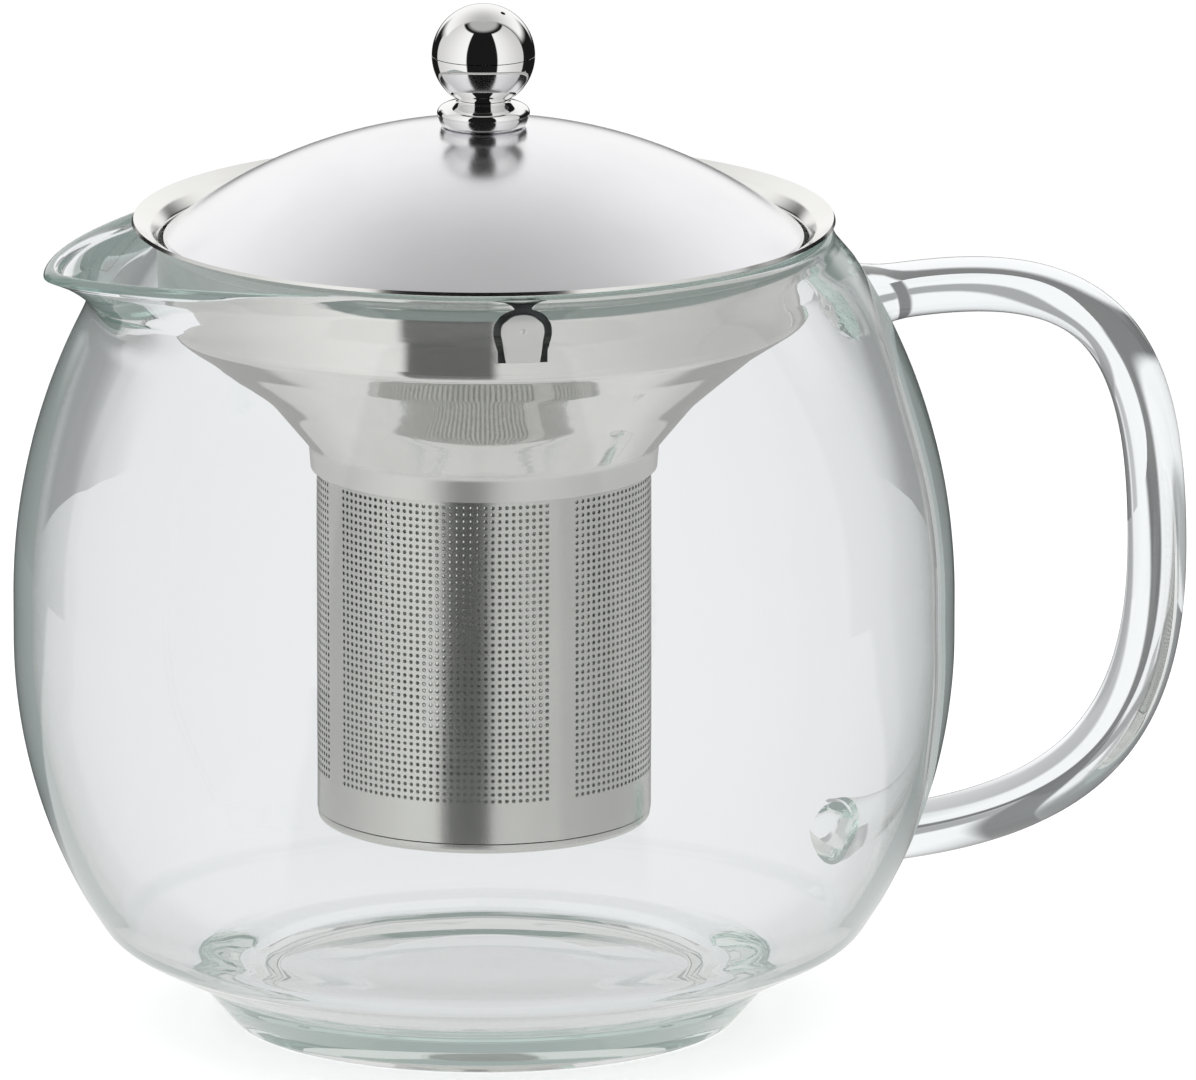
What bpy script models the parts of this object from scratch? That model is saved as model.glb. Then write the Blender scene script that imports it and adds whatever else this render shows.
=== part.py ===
"""Glass teapot with a steel infuser and a domed lid, as separate pieces.

Metres, +Z up. The pot stands on Z = 0. Its spout points along -X and its handle along +X.
Turned pieces are drawn as (radius, height) outlines around the pot's own axis.
"""
import math

import bmesh
import bpy
from mathutils import Matrix, Vector, geometry

MM = 0.001
GAP = 0.35 * MM                   # clearance between neighbouring pieces
SHEET = 0.6 * MM                  # steel sheet of the infuser

# Glass jug
BELLY_RADIUS = 76.3 * MM
BELLY_LOW = 63.0 * MM             # the wall is upright between these two heights
BELLY_HIGH = 70.0 * MM
LOWER_ARC = 86.0 * MM             # radius of the wall's curve below them
UPPER_ARC = 100.0 * MM            # and above them
GLASS = 3.0 * MM
RIM_BEAD = 1.4 * MM
RIM_RADIUS = 55.3 * MM            # centre line of the rim bead
RIM_HEIGHT = 129.0 * MM
FOOT_RADIUS = 41.6 * MM
FOOT_HEIGHT = 7.4 * MM
FOOT_TOP_RADIUS = 47.4 * MM
PUNT_RADIUS = 35.5 * MM           # recess under the foot
PUNT_DEPTH = 2.6 * MM
FLOOR_HEIGHT = 7.2 * MM           # inside floor at the centre

# Spout, pinched out of the rim
SPOUT_REACH = 19.4 * MM
SPOUT_HALF_ANGLE = math.radians(46.0)
SPOUT_ROOT_HEIGHT = 115.0 * MM
SPOUT_DROOP = 0.9 * MM
SPOUT_TIP_ROUNDING = 0.09         # part of the half angle over which the tip is rounded

# Handle
HANDLE_REACH = 125.2 * MM         # from the pot's axis to the back of the grip
HANDLE_THICK = 8.8 * MM
HANDLE_WIDE = 13.0 * MM
HANDLE_TOP = 112.6 * MM           # heights of the two joints on the wall
HANDLE_FOOT = 22.3 * MM
PAD_FLARE = 0.32                  # extra size where the handle meets the wall

# Infuser
FLANGE_RADIUS = 56.9 * MM
FLANGE_HEIGHT = 131.7 * MM
SEAT_HEIGHT = 127.8 * MM          # ledge that the lid rests on
COLLAR_TOP_RADIUS = 52.8 * MM
COLLAR_FOOT_RADIUS = 52.6 * MM
COLLAR_FOOT_HEIGHT = 117.0 * MM
CONE_TOP = (44.5 * MM, 111.0 * MM)
CONE_MIDDLE = (34.6 * MM, 102.5 * MM)
NECK_RADIUS = 28.1 * MM
NECK_TOP_HEIGHT = 94.8 * MM
NECK_FOOT_HEIGHT = 91.1 * MM
STRAINER_RADIUS = 27.1 * MM
STRAINER_SHEET = 0.5 * MM
STRAINER_TOP = 94.2 * MM
STRAINER_FOOT = 34.6 * MM
BASE_HEIGHT = 32.8 * MM           # underside of the strainer's cup

# Spring tongues cut in the collar
TONGUE_COUNT = 3
TONGUE_FIRST_ANGLE = math.radians(-107.0)
TONGUE_HEAD_RADIUS = 3.45 * MM
TONGUE_NECK_WIDTH = 5.35 * MM
TONGUE_HEAD_HEIGHT = 123.8 * MM
TONGUE_FOOT_HEIGHT = 119.4 * MM
SLOT_WIDTH = 1.36 * MM

# Lid
LID_RADIUS = 51.8 * MM
LID_SHEET = 0.7 * MM
LID_EDGE_HEIGHT = 129.5 * MM      # where the dome starts
LID_APEX_HEIGHT = 147.4 * MM
SKIRT_RADIUS = 49.7 * MM
SKIRT_FOOT_HEIGHT = 121.7 * MM

# Knob
BALL_RADIUS = 8.35 * MM
BALL_HEIGHT = 158.8 * MM
BALL_SHELL = 0.9 * MM
KNOB_NECK_RADIUS = 4.45 * MM
KNOB_FOOT_RADIUS = 7.5 * MM
SEAT_RING_RADIUS = 6.3 * MM
STUD_RADIUS = 2.0 * MM

# The origin is under the middle of the whole object, so the pot's axis lies to one side.
POT_X = -(HANDLE_REACH - BELLY_RADIUS) / 2


def material(name, colour, roughness, metallic=0.0, transmission=0.0):
    made = bpy.data.materials.new(name)
    made.use_nodes = True
    shader = made.node_tree.nodes["Principled BSDF"]
    shader.inputs["Base Color"].default_value = (*colour, 1.0)
    shader.inputs["Roughness"].default_value = roughness
    shader.inputs["Metallic"].default_value = metallic
    shader.inputs["Transmission Weight"].default_value = transmission
    return made


def arc(centre, radius, start_deg, end_deg, steps):
    """Points on a circle, from one angle to another."""
    angles = [math.radians(start_deg + (end_deg - start_deg) * i / steps) for i in range(steps + 1)]
    return [(centre[0] + radius * math.cos(a), centre[1] + radius * math.sin(a)) for a in angles]


def thickened(line, thickness):
    """Closed outline of a sheet whose outer side follows the line."""
    inner = []
    for i, (r, z) in enumerate(line):
        before = line[max(i - 1, 0)]
        after = line[min(i + 1, len(line) - 1)]
        along = Vector((after[0] - before[0], after[1] - before[1])).normalized()
        inner.append((r - along.y * thickness, z + along.x * thickness))
    return line + inner[::-1]


def even_angles(count):
    return [2 * math.pi * i / count for i in range(count)]


def finish_mesh(bm, name, parent, surface, edge_deg=35.0):
    """Turn a bmesh into a smooth-shaded object under its parent empty."""
    bmesh.ops.recalc_face_normals(bm, faces=bm.faces)
    mesh = bpy.data.meshes.new(name)
    bm.to_mesh(mesh)
    bm.free()
    mesh.shade_smooth()
    mesh.set_sharp_from_angle(angle=math.radians(edge_deg))
    mesh.materials.append(surface)
    made = bpy.data.objects.new(name, mesh)
    bpy.context.scene.collection.objects.link(made)
    made.parent = parent
    return made


def turned_bmesh(outline, angles, shift=None):
    """Turn an outline around Z. Points on the axis become one vertex, and an outline that
    doesn't start and end on the axis is closed."""
    bm = bmesh.new()
    rings = []
    for r, z in outline:
        if r < 1e-7:
            rings.append([bm.verts.new((0, 0, z))])
            continue
        ring = []
        for angle in angles:
            reach, height = shift(r, z, angle) if shift else (r, z)
            ring.append(bm.verts.new((reach * math.cos(angle), reach * math.sin(angle), height)))
        rings.append(ring)
    closed = outline[0][0] > 1e-7
    pairs = zip(rings, rings[1:] + rings[:1]) if closed else zip(rings, rings[1:])
    count = len(angles)
    for low, high in pairs:
        for j in range(count):
            k = (j + 1) % count
            corners = [low[j % len(low)], low[k % len(low)], high[k % len(high)], high[j % len(high)]]
            bm.faces.new(list(dict.fromkeys(corners)))
    return bm


def turned(name, outline, parent, surface, segments=48):
    return finish_mesh(turned_bmesh(outline, even_angles(segments)), name, parent, surface)


def empty(name, location, parent=None):
    made = bpy.data.objects.new(name, None)
    bpy.context.scene.collection.objects.link(made)
    made.location = location
    made.parent = parent
    return made


# ---------------------------------------------------------------- glass

def wall_radius(z, inset=0.0):
    """Radius of the jug's outer wall, or of a surface inset from it, at a height."""
    if BELLY_LOW <= z <= BELLY_HIGH:
        return BELLY_RADIUS - inset
    bend, drop = (LOWER_ARC, BELLY_LOW - z) if z < BELLY_LOW else (UPPER_ARC, z - BELLY_HIGH)
    return BELLY_RADIUS - bend + math.sqrt((bend - inset) ** 2 - drop * drop)


def wall_arc(inset, low, high, steps):
    """Points up the wall between two heights, evenly spaced."""
    heights = [low + (high - low) * i / steps for i in range(steps + 1)]
    return [(wall_radius(z, inset), z) for z in heights]


def jug_outline():
    """From the middle of the underside, round the foot and up the wall, over the rim, and
    down the inside to the middle of the floor."""
    foot_round = 0.8 * MM
    outside = [(0.0, PUNT_DEPTH), (PUNT_RADIUS - 2 * MM, PUNT_DEPTH), (PUNT_RADIUS + 1 * MM, 0.3 * MM)]
    outside += [(PUNT_RADIUS + 2.5 * MM, 0.0), (FOOT_RADIUS - foot_round, 0.0)]
    outside += [(FOOT_RADIUS, foot_round), (FOOT_TOP_RADIUS, FOOT_HEIGHT)]
    outside += [(55.9 * MM, 11.2 * MM), (60.0 * MM, 13.6 * MM), (62.8 * MM, 16.2 * MM)]
    outside += wall_arc(0.0, 21.0 * MM, BELLY_LOW, 5)
    outside += wall_arc(0.0, BELLY_HIGH, 125.0 * MM, 6)
    outside += [(RIM_RADIUS + 2.6 * MM, 127.2 * MM)]
    rim = arc((RIM_RADIUS, RIM_HEIGHT), RIM_BEAD, 0, 190, 5)
    inside = wall_arc(GLASS, 123.0 * MM, BELLY_HIGH, 5)
    inside += wall_arc(GLASS, BELLY_LOW, 24.0 * MM, 4)
    inside += [(61.3 * MM, 19.6 * MM), (58.0 * MM, 16.2 * MM), (53.4 * MM, 13.2 * MM)]
    inside += [(44.0 * MM, 9.2 * MM), (37.5 * MM, 8.4 * MM), (36.0 * MM, FLOOR_HEIGHT), (0.0, FLOOR_HEIGHT)]
    return outside + rim + inside


def spout_shift(r, z, angle):
    """Pull the top of the wall out into a pouring lip around -X."""
    off_axis = abs(math.remainder(angle - math.pi, 2 * math.pi))
    if off_axis >= SPOUT_HALF_ANGLE or z <= SPOUT_ROOT_HEIGHT:
        return r, z
    rounding = SPOUT_TIP_ROUNDING
    off_tip = math.hypot(off_axis / SPOUT_HALF_ANGLE, rounding) - rounding
    across = max(0.0, 1 - off_tip / (math.hypot(1, rounding) - rounding)) ** 1.5
    up = min(1.0, ((z - SPOUT_ROOT_HEIGHT) / (RIM_HEIGHT - SPOUT_ROOT_HEIGHT)) ** 2)
    return r + SPOUT_REACH * across * up, z - SPOUT_DROOP * across * up


def glass_jug(parent, surface):
    count = 44
    spread = 0.55                 # crowds the rings towards the spout
    angles = [a + spread * math.sin(a) for a in even_angles(count)]
    bm = turned_bmesh(jug_outline(), angles, spout_shift)
    return finish_mesh(bm, "glass_jug", parent, surface, edge_deg=50.0)


def handle_path():
    """Centre line from the upper joint, round the grip, to the lower joint."""
    back = HANDLE_REACH - HANDLE_THICK / 2
    start = Vector((wall_radius(HANDLE_TOP), 0, HANDLE_TOP))
    middle = Vector((back, 0, 66 * MM))
    end = Vector((wall_radius(HANDLE_FOOT), 0, HANDLE_FOOT))
    upper = geometry.interpolate_bezier(
        start, Vector((108 * MM, 0, 116.8 * MM)), Vector((back, 0, 105 * MM)), middle, 12)
    lower = geometry.interpolate_bezier(
        middle, Vector((back, 0, 32 * MM)), Vector((104 * MM, 0, 21.5 * MM)), end, 12)
    return upper + lower[1:]


def glass_handle(parent, surface):
    """An oval bar swept along its path. Both ends are cut to the curve of the wall."""
    sides = 12
    path = handle_path()
    lengths = [0.0]
    for a, b in zip(path, path[1:]):
        lengths.append(lengths[-1] + (b - a).length)
    bm = bmesh.new()
    rings = []
    for i, centre in enumerate(path):
        along = (path[min(i + 1, len(path) - 1)] - path[max(i - 1, 0)]).normalized()
        outward = along.cross(Vector((0, 1, 0)))
        from_end = min(lengths[i], lengths[-1] - lengths[i])
        flare = 1 + PAD_FLARE * math.exp(-(from_end / (4.5 * MM)) ** 2)
        at_wall = i in (0, len(path) - 1)
        sizes = (1.0, 0.5) if at_wall else (1.0,)
        for size in sizes:
            ring = []
            for k in range(sides):
                angle = 2 * math.pi * k / sides
                across = HANDLE_THICK / 2 * math.cos(angle) * flare * size
                sideways = HANDLE_WIDE / 2 * math.sin(angle) * flare * size
                point = centre + outward * across + Vector((0, sideways, 0))
                if at_wall:
                    reach = wall_radius(point.z) + GAP
                    point.x = math.sqrt(reach * reach - point.y * point.y)
                ring.append(bm.verts.new(point))
            rings.append(ring)
    rings[0], rings[1] = rings[1], rings[0]
    for low, high in zip(rings, rings[1:]):
        for k in range(sides):
            m = (k + 1) % sides
            bm.faces.new((low[k], low[m], high[m], high[k]))
    for ring, height in ((rings[0], HANDLE_TOP), (rings[-1], HANDLE_FOOT)):
        tip = bm.verts.new((wall_radius(height) + GAP, 0, height))
        for k in range(sides):
            bm.faces.new((ring[k], ring[(k + 1) % sides], tip))
    return finish_mesh(bm, "glass_handle", parent, surface, edge_deg=50.0)


# ---------------------------------------------------------------- infuser

def funnel_line():
    """Outer side of the funnel, from the flange's lip down to the neck's foot."""
    ledge = SEAT_HEIGHT - SHEET
    line = [(FLANGE_RADIUS - 0.2 * MM, FLANGE_HEIGHT), (FLANGE_RADIUS, FLANGE_HEIGHT - 0.6 * MM)]
    line += [(55.7 * MM, FLANGE_HEIGHT - 0.95 * MM), (54.3 * MM, FLANGE_HEIGHT - 1.35 * MM)]
    line += [(53.4 * MM, FLANGE_HEIGHT - 2.1 * MM), (53.0 * MM, ledge + 1.3 * MM), (52.9 * MM, ledge)]
    line += [(COLLAR_TOP_RADIUS, ledge - 0.4 * MM), (COLLAR_TOP_RADIUS - 0.1 * MM, ledge - 2.0 * MM)]
    shoulder = 2.6 * MM
    centre = (COLLAR_FOOT_RADIUS - shoulder, COLLAR_FOOT_HEIGHT + shoulder * 0.3)
    line += arc(centre, shoulder, 0, -55, 3)
    line += [(CONE_TOP[0] + 1.6 * MM, CONE_TOP[1] + 1.0 * MM), (CONE_TOP[0] - 0.9 * MM, CONE_TOP[1] - 0.8 * MM)]
    line += [CONE_MIDDLE]
    line += [(NECK_RADIUS + 0.9 * MM, NECK_TOP_HEIGHT + 1.0 * MM), (NECK_RADIUS, NECK_TOP_HEIGHT - 0.6 * MM)]
    line += [(NECK_RADIUS, NECK_FOOT_HEIGHT)]
    return line


def tongue_outline(grow, foot):
    """Keyhole shape as (sideways, height) points: a round head on a straight neck."""
    head = TONGUE_HEAD_RADIUS + grow
    half_neck = TONGUE_NECK_WIDTH / 2 + grow
    half_neck = min(half_neck, head * 0.93)
    start = -math.degrees(math.acos(half_neck / head))
    points = arc((0.0, TONGUE_HEAD_HEIGHT), head, start, 180 - start, 10)
    return [(half_neck, foot)] + points + [(-half_neck, foot)]


def curved_plate(outline, angle, inner, outer):
    """A plate of the given outline, bent round the pot's axis."""
    bm = bmesh.new()
    sides = []
    for reach in (inner, outer):
        ring = []
        for sideways, z in outline:
            turn = angle + sideways / outer
            ring.append(bm.verts.new((reach * math.cos(turn), reach * math.sin(turn), z)))
        sides.append(ring)
    count = len(outline)
    for k in range(count):
        m = (k + 1) % count
        bm.faces.new((sides[0][k], sides[0][m], sides[1][m], sides[1][k]))
    caps = [bm.faces.new(ring) for ring in sides]
    bmesh.ops.triangulate(bm, faces=caps)
    return bm


def tongue_angles():
    return [TONGUE_FIRST_ANGLE + 2 * math.pi * i / TONGUE_COUNT for i in range(TONGUE_COUNT)]


def infuser_funnel(parent, surface):
    made = turned("infuser_funnel", thickened(funnel_line(), -SHEET), parent, surface, 44)
    for i, angle in enumerate(tongue_angles()):
        outline = tongue_outline(SLOT_WIDTH, TONGUE_FOOT_HEIGHT)
        bm = curved_plate(outline, angle, COLLAR_FOOT_RADIUS - 3 * MM, COLLAR_TOP_RADIUS + 3 * MM)
        cutter = finish_mesh(bm, f"slot_cutter_{i + 1}", parent, surface)
        cutter.hide_render = True
        cutter.display_type = "WIRE"
        cut = made.modifiers.new("slot", "BOOLEAN")
        cut.operation = "DIFFERENCE"
        cut.object = cutter
    return made


def clip_tongue(number, angle, parent, surface):
    """A spring tongue with a small pressed pip, hinged on its foot."""
    inner = COLLAR_FOOT_RADIUS - 0.35 * MM
    outer = inner + SHEET
    hinge_spot = Vector((inner * math.cos(angle), inner * math.sin(angle), TONGUE_FOOT_HEIGHT))
    hinge = empty(f"tongue_hinge_{number}", hinge_spot, parent)
    bm = curved_plate(tongue_outline(0.0, TONGUE_FOOT_HEIGHT + GAP), angle, inner, outer)
    made = finish_mesh(bm, f"clip_tongue_{number}", hinge, surface)
    made.data.transform(Matrix.Translation(-hinge_spot))
    pip = bmesh.new()
    bmesh.ops.create_uvsphere(pip, u_segments=8, v_segments=4, radius=0.75 * MM)
    centre = Vector((math.cos(angle) * outer, math.sin(angle) * outer, TONGUE_HEAD_HEIGHT)) - hinge_spot
    bmesh.ops.scale(pip, verts=pip.verts, vec=(0.55, 1.0, 1.0))
    bmesh.ops.rotate(pip, verts=pip.verts, cent=(0, 0, 0), matrix=Matrix.Rotation(angle, 3, "Z"))
    bmesh.ops.translate(pip, verts=pip.verts, vec=centre)
    bump = finish_mesh(pip, f"pip_form_{number}", hinge, surface)
    bump.hide_render = True
    bump.display_type = "WIRE"
    join = made.modifiers.new("pip", "BOOLEAN")
    join.operation = "UNION"
    join.object = bump
    return made


def strainer_wall(parent, surface):
    inner = STRAINER_RADIUS - STRAINER_SHEET
    outline = [(STRAINER_RADIUS, STRAINER_TOP), (STRAINER_RADIUS, STRAINER_FOOT)]
    outline += [(inner, STRAINER_FOOT), (inner, STRAINER_TOP)]
    return turned("strainer_wall", outline, parent, surface, 36)


def strainer_base(parent, surface):
    """A shallow cup pressed into the foot of the strainer, with a rounded lower edge."""
    reach = STRAINER_RADIUS - STRAINER_SHEET - GAP
    corner = 1.5 * MM
    line = [(reach, BASE_HEIGHT + 6.0 * MM)]
    line += arc((reach - corner, BASE_HEIGHT + corner), corner, 0, -90, 3)
    line += [(reach - 5 * MM, BASE_HEIGHT), (reach - 6.2 * MM, BASE_HEIGHT + 0.8 * MM), (0.0, BASE_HEIGHT + 0.8 * MM)]
    upper = [(0.0, BASE_HEIGHT + 1.3 * MM), (reach - 6.4 * MM, BASE_HEIGHT + 1.3 * MM)]
    upper += [(reach - 5.2 * MM, BASE_HEIGHT + 0.5 * MM), (reach - corner, BASE_HEIGHT + 0.5 * MM)]
    upper += [(reach - 0.5 * MM, BASE_HEIGHT + corner), (reach - 0.5 * MM, BASE_HEIGHT + 6.0 * MM)]
    return turned("strainer_base", upper + line, parent, surface, 32)


# ---------------------------------------------------------------- lid and knob

def dome_radius():
    """Sphere radius of the dome, from its width and its height."""
    rise = LID_APEX_HEIGHT - LID_EDGE_HEIGHT
    reach = LID_RADIUS - 0.5 * MM
    return (reach * reach + rise * rise) / (2 * rise)


def dome_height(r, inset=0.0):
    """Height of the dome's outer side, or of a surface inset from it, at a radius."""
    bend = dome_radius()
    return LID_APEX_HEIGHT - bend + math.sqrt((bend - inset) ** 2 - r * r)


def lid_dome(parent, surface):
    hole = STUD_RADIUS + GAP
    steps = 7
    reach = LID_RADIUS - 0.5 * MM
    radii = [hole + (reach - hole) * i / steps for i in range(steps + 1)]
    line = [(r, dome_height(r)) for r in radii]
    line += [(LID_RADIUS, LID_EDGE_HEIGHT - 0.7 * MM), (LID_RADIUS - 0.4 * MM, SEAT_HEIGHT + GAP)]
    inner = [(LID_RADIUS - 1.1 * MM, SEAT_HEIGHT + GAP), (LID_RADIUS - 1.2 * MM, LID_EDGE_HEIGHT - 0.9 * MM)]
    inner += [(r, dome_height(r, LID_SHEET)) for r in radii[::-1][1:]]
    return turned("lid_dome", line + inner, parent, surface, 44)


def lid_locating_ring(parent, surface):
    """A ring with a narrow top flange, spot-welded under the dome, that centres the lid."""
    top_radius = SKIRT_RADIUS - 3.2 * MM
    inner = SKIRT_RADIUS - SHEET
    top = dome_height(SKIRT_RADIUS, LID_SHEET) - GAP - 0.2 * MM
    line = [(SKIRT_RADIUS - 0.4 * MM, SKIRT_FOOT_HEIGHT), (SKIRT_RADIUS, SKIRT_FOOT_HEIGHT + 0.8 * MM)]
    line += [(SKIRT_RADIUS, top - 1.0 * MM), (SKIRT_RADIUS - 0.7 * MM, top)]
    line += [(top_radius, top + 1.4 * MM), (top_radius, top + 0.8 * MM)]
    line += [(inner - 0.5 * MM, top - 0.7 * MM), (inner, top - 1.3 * MM), (inner, SKIRT_FOOT_HEIGHT + 0.8 * MM)]
    line += [(inner - 0.4 * MM, SKIRT_FOOT_HEIGHT)]
    return turned("lid_locating_ring", line, parent, surface, 40)


def knob_pieces(parent, surface, dull):
    """Seat ring, flared foot, two half balls, and the stud and washer that hold them."""
    bore = STUD_RADIUS + GAP
    seat_low = dome_height(bore) + GAP
    seat_top = seat_low + 0.5 * MM
    seat = [(bore, seat_low + 0.1 * MM), (SEAT_RING_RADIUS - 0.2 * MM, seat_low)]
    seat += [(SEAT_RING_RADIUS, seat_low + 0.2 * MM), (SEAT_RING_RADIUS - 0.2 * MM, seat_top), (bore, seat_top)]
    turned("knob_seat_ring", seat, parent, surface, 24)

    cradle = BALL_RADIUS + GAP    # the neck's top is hollowed to hold the ball
    neck_rim = math.degrees(math.acos(KNOB_NECK_RADIUS / cradle))
    neck_bore = math.degrees(math.acos(bore / cradle))
    neck_top = BALL_HEIGHT - cradle * math.sin(math.radians(neck_rim))
    foot_low = seat_top + GAP
    bulge = foot_low + 0.85 * MM
    foot = [(bore, foot_low), (SEAT_RING_RADIUS, foot_low), (KNOB_FOOT_RADIUS - 0.35 * MM, bulge - 0.45 * MM)]
    flare = geometry.interpolate_bezier(
        Vector((KNOB_FOOT_RADIUS, 0, bulge)),
        Vector((KNOB_FOOT_RADIUS, 0, bulge + 0.9 * MM)),
        Vector((KNOB_NECK_RADIUS, 0, neck_top - 0.9 * MM)),
        Vector((KNOB_NECK_RADIUS, 0, neck_top)), 6)
    foot += [(p.x, p.z) for p in flare[:-1]] + arc((0.0, BALL_HEIGHT), cradle, -neck_rim, -neck_bore, 2)
    turned("knob_foot", foot, parent, surface, 24)

    seam = math.degrees(GAP / 2 / BALL_RADIUS)
    inner = BALL_RADIUS - BALL_SHELL
    low_end = -math.degrees(math.acos(bore / BALL_RADIUS))
    inner_end = -math.degrees(math.acos(bore / inner))
    centre = (0.0, BALL_HEIGHT)
    lower = arc(centre, BALL_RADIUS, -seam, low_end, 6) + arc(centre, inner, inner_end, -seam, 4)
    turned("knob_ball_lower", lower, parent, surface, 24)

    vent = 0.5 * MM
    vent_out = math.degrees(math.acos(vent / BALL_RADIUS))
    vent_in = math.degrees(math.acos(vent / inner))
    upper = arc(centre, BALL_RADIUS, seam, vent_out, 7) + arc(centre, inner, vent_in, seam, 4)
    turned("knob_ball_upper", upper, parent, surface, 24)

    under = LID_APEX_HEIGHT - LID_SHEET - GAP - 0.1 * MM
    washer_low = under - 0.8 * MM
    washer = [(bore, washer_low), (5.2 * MM, washer_low), (5.2 * MM, under - 0.15 * MM), (bore, under)]
    turned("knob_washer", washer, parent, dull, 20)

    head_top = washer_low - GAP
    head_low = head_top - 1.8 * MM
    stud = [(0.0, head_low), (3.0 * MM, head_low), (3.7 * MM, head_low + 0.6 * MM), (3.7 * MM, head_top)]
    stud += [(STUD_RADIUS, head_top), (STUD_RADIUS, BALL_HEIGHT - 3.0 * MM), (0.0, BALL_HEIGHT - 2.4 * MM)]
    turned("knob_stud", stud, parent, dull, 20)

    nut_low = BALL_HEIGHT - math.sqrt(inner * inner - bore * bore) + 1.1 * MM
    nut_top = nut_low + 2.2 * MM
    nut = [(bore, nut_low), (3.5 * MM, nut_low), (3.5 * MM, nut_top), (bore, nut_top)]
    turned("knob_nut", nut, parent, dull, 6)


def main():
    for thing in list(bpy.data.objects):
        bpy.data.objects.remove(thing, do_unlink=True)
    clear_glass = material("clear_glass", (0.93, 0.97, 0.95), 0.02, transmission=1.0)
    handle_glass = material("handle_glass", (0.93, 0.96, 0.95), 0.02, transmission=1.0)
    polished = material("polished_steel", (0.75, 0.75, 0.73), 0.08, metallic=1.0)
    strainer = material("strainer_steel", (0.62, 0.62, 0.59), 0.28, metallic=1.0)
    satin = material("satin_steel", (0.72, 0.72, 0.72), 0.3, metallic=1.0)
    fastener = material("fastener_steel", (0.55, 0.55, 0.55), 0.4, metallic=1.0)

    pot = empty("pot_axis", (POT_X, 0, 0))
    glass_jug(pot, clear_glass)
    glass_handle(pot, handle_glass)

    infuser = empty("infuser_axis", (0, 0, 0), pot)
    infuser_funnel(infuser, polished)
    for i, angle in enumerate(tongue_angles()):
        clip_tongue(i + 1, angle, infuser, polished)
    strainer_wall(infuser, strainer)
    strainer_base(infuser, strainer)

    lid = empty("lid_axis", (0, 0, 0), infuser)
    lid_dome(lid, satin)
    lid_locating_ring(lid, satin)
    knob_pieces(lid, polished, fastener)


main()
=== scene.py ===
"""Looks for the glass teapot with its steel infuser and lid. Metres, +Z up."""
import math

import bmesh
import bpy
from mathutils import Matrix, Vector, geometry


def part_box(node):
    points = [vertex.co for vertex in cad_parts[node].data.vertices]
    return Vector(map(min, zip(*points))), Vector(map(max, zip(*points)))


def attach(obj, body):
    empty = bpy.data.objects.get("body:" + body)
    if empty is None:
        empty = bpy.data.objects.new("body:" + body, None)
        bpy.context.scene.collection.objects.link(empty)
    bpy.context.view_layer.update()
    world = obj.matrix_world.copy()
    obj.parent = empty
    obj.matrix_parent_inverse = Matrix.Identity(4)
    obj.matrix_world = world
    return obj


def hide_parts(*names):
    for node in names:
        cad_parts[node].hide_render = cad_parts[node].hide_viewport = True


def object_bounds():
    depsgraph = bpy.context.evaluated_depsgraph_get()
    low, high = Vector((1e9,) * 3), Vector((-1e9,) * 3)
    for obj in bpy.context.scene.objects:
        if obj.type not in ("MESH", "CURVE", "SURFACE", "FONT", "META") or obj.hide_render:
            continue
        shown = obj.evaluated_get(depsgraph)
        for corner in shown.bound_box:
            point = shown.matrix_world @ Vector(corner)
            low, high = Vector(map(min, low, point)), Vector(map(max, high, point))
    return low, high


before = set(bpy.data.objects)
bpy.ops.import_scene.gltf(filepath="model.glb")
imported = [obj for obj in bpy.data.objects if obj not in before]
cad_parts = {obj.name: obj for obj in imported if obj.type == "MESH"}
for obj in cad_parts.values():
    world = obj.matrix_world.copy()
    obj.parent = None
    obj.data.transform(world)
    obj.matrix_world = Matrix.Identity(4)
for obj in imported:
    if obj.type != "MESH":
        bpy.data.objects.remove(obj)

MM = 0.001
ON_AXIS = 1e-7                                   # a point this close to the axis is on it
cad_low, cad_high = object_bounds()
funnel_low, funnel_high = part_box("infuser_funnel")
POT_X = (funnel_low.x + funnel_high.x) / 2       # the pot's own axis is at (POT_X, 0)

# Camera, and the direction names used by the studio
VIEW_AZIMUTH = math.radians(-24.0)
VIEW_ELEVATION = math.radians(13.2)
VIEW_DISTANCE = 3.5
VIEW_WIDTH = 0.1938                              # width seen at the pot
SENSOR_WIDTH = 36.0                              # millimetres
TARGET_RIGHT = 0.01847                           # where the camera aims, from the pot's foot
TARGET_HEIGHT = 0.0785
TO_CAMERA = Vector((math.sin(VIEW_AZIMUTH), -math.cos(VIEW_AZIMUTH), 0.0))
TO_RIGHT = Vector((math.cos(VIEW_AZIMUTH), math.sin(VIEW_AZIMUTH), 0.0))

# Glass
BELLY_RADIUS = 76.3 * MM
BELLY_LOW = 63.0 * MM
BELLY_HIGH = 70.0 * MM
LOWER_ARC = 86.0 * MM
UPPER_ARC = 100.0 * MM
GLASS = 3.0 * MM
RIM_BEAD = 1.4 * MM
RIM_RADIUS = 55.3 * MM
RIM_HEIGHT = 129.0 * MM
SPOUT_REACH = 19.4 * MM
SPOUT_HALF_ANGLE = math.radians(46.0)
SPOUT_ROOT_HEIGHT = 115.0 * MM
SPOUT_DROOP = 0.9 * MM
SPOUT_TIP_ROUNDING = 0.09
HANDLE_REACH = cad_high.x - POT_X
HANDLE_THICK = 8.8 * MM
HANDLE_WIDE = 13.0 * MM
HANDLE_TOP = 112.6 * MM
HANDLE_FOOT = 22.3 * MM
HANDLE_FLARE = 0.32                              # how much wider the bar is where it meets the wall
HANDLE_FLARE_LENGTH = 4.5 * MM
DENTS = ((HANDLE_TOP, 0.12 * MM), (HANDLE_FOOT, 0.22 * MM))      # height and depth
DENT_WIDTH = 5.5 * MM
DENT_HEIGHT = 7.0 * MM

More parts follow.
